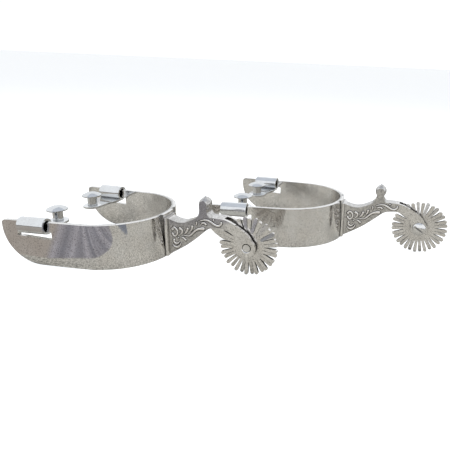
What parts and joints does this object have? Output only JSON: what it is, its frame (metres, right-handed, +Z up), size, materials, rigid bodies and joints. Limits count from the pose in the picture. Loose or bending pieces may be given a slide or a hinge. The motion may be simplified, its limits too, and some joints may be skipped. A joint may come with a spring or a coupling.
{
  "type": "pair of spurs",
  "caption": "Pair of western riding spurs: U-shaped heel bands with swinging strap buttons, curved shanks with chap guards and scrollwork, and spinning star rowels.",
  "frame": {"origin": "centre of the pair's bounding box in plan, on the surface both spurs rest on", "axes": "+X rearward along both spurs, from band tips to rowels; +Y from the left spur to the right spur; +Z up"},
  "size_m": [0.2714, 0.1894, 0.0475],
  "materials": {
    "band_steel": "mirror-polished stainless steel with fine wear marks",
    "shank_steel": "stainless steel, polished on its edges, satin grey and darkened in the low ground of its side faces",
    "rowel_steel": "bright stamped stainless steel",
    "screw_steel": "bright turned steel",
    "scroll_steel": "polished raised lines",
    "hanger_steel": "polished rolled steel sheet",
    "button_steel": "polished turned steel"
  },
  "bodies": {
    "pair": {"left_heel_band": "band_steel", "left_shank": "shank_steel", "left_rowel_screw": "screw_steel", "left_outer_scrollwork": "scroll_steel", "left_inner_scrollwork": "scroll_steel", "right_heel_band": "band_steel", "right_shank": "shank_steel", "right_rowel_screw": "screw_steel", "right_outer_scrollwork": "scroll_steel", "right_inner_scrollwork": "scroll_steel"},
    "left_rowel": {"left_rowel": "rowel_steel"},
    "left_outer_swing": {"left_outer_hanger": "hanger_steel", "left_outer_button": "button_steel"},
    "left_inner_swing": {"left_inner_hanger": "hanger_steel", "left_inner_button": "button_steel"},
    "right_rowel": {"right_rowel": "rowel_steel"},
    "right_outer_swing": {"right_outer_hanger": "hanger_steel", "right_outer_button": "button_steel"},
    "right_inner_swing": {"right_inner_hanger": "hanger_steel", "right_inner_button": "button_steel"}
  },
  "joints": [
    {"name": "left_rowel_spin", "type": "hinge", "parent": "pair", "child": "left_rowel", "pos_m": [0.01522, -0.04525, 0.019], "axis": [0, 1, 0], "continuous": true},
    {"name": "left_outer_hanger_swing", "type": "hinge", "parent": "pair", "child": "left_outer_swing", "pos_m": [-0.11274, -0.08875, 0.02569], "axis": [0.995, 0.0785, 0.0617], "range_deg": [0, 245]},
    {"name": "left_inner_hanger_swing", "type": "hinge", "parent": "pair", "child": "left_inner_swing", "pos_m": [-0.11274, -0.00175, 0.02569], "axis": [-0.995, 0.0785, -0.0617], "range_deg": [0, 245]},
    {"name": "right_rowel_spin", "type": "hinge", "parent": "pair", "child": "right_rowel", "pos_m": [0.11672, 0.04525, 0.019], "axis": [0, 1, 0], "continuous": true},
    {"name": "right_outer_hanger_swing", "type": "hinge", "parent": "pair", "child": "right_outer_swing", "pos_m": [-0.01124, 0.08875, 0.02569], "axis": [-0.995, 0.0785, -0.0617], "range_deg": [0, 245]},
    {"name": "right_inner_hanger_swing", "type": "hinge", "parent": "pair", "child": "right_inner_swing", "pos_m": [-0.01124, 0.00175, 0.02569], "axis": [0.995, 0.0785, 0.0617], "range_deg": [0, 245]}
  ]
}
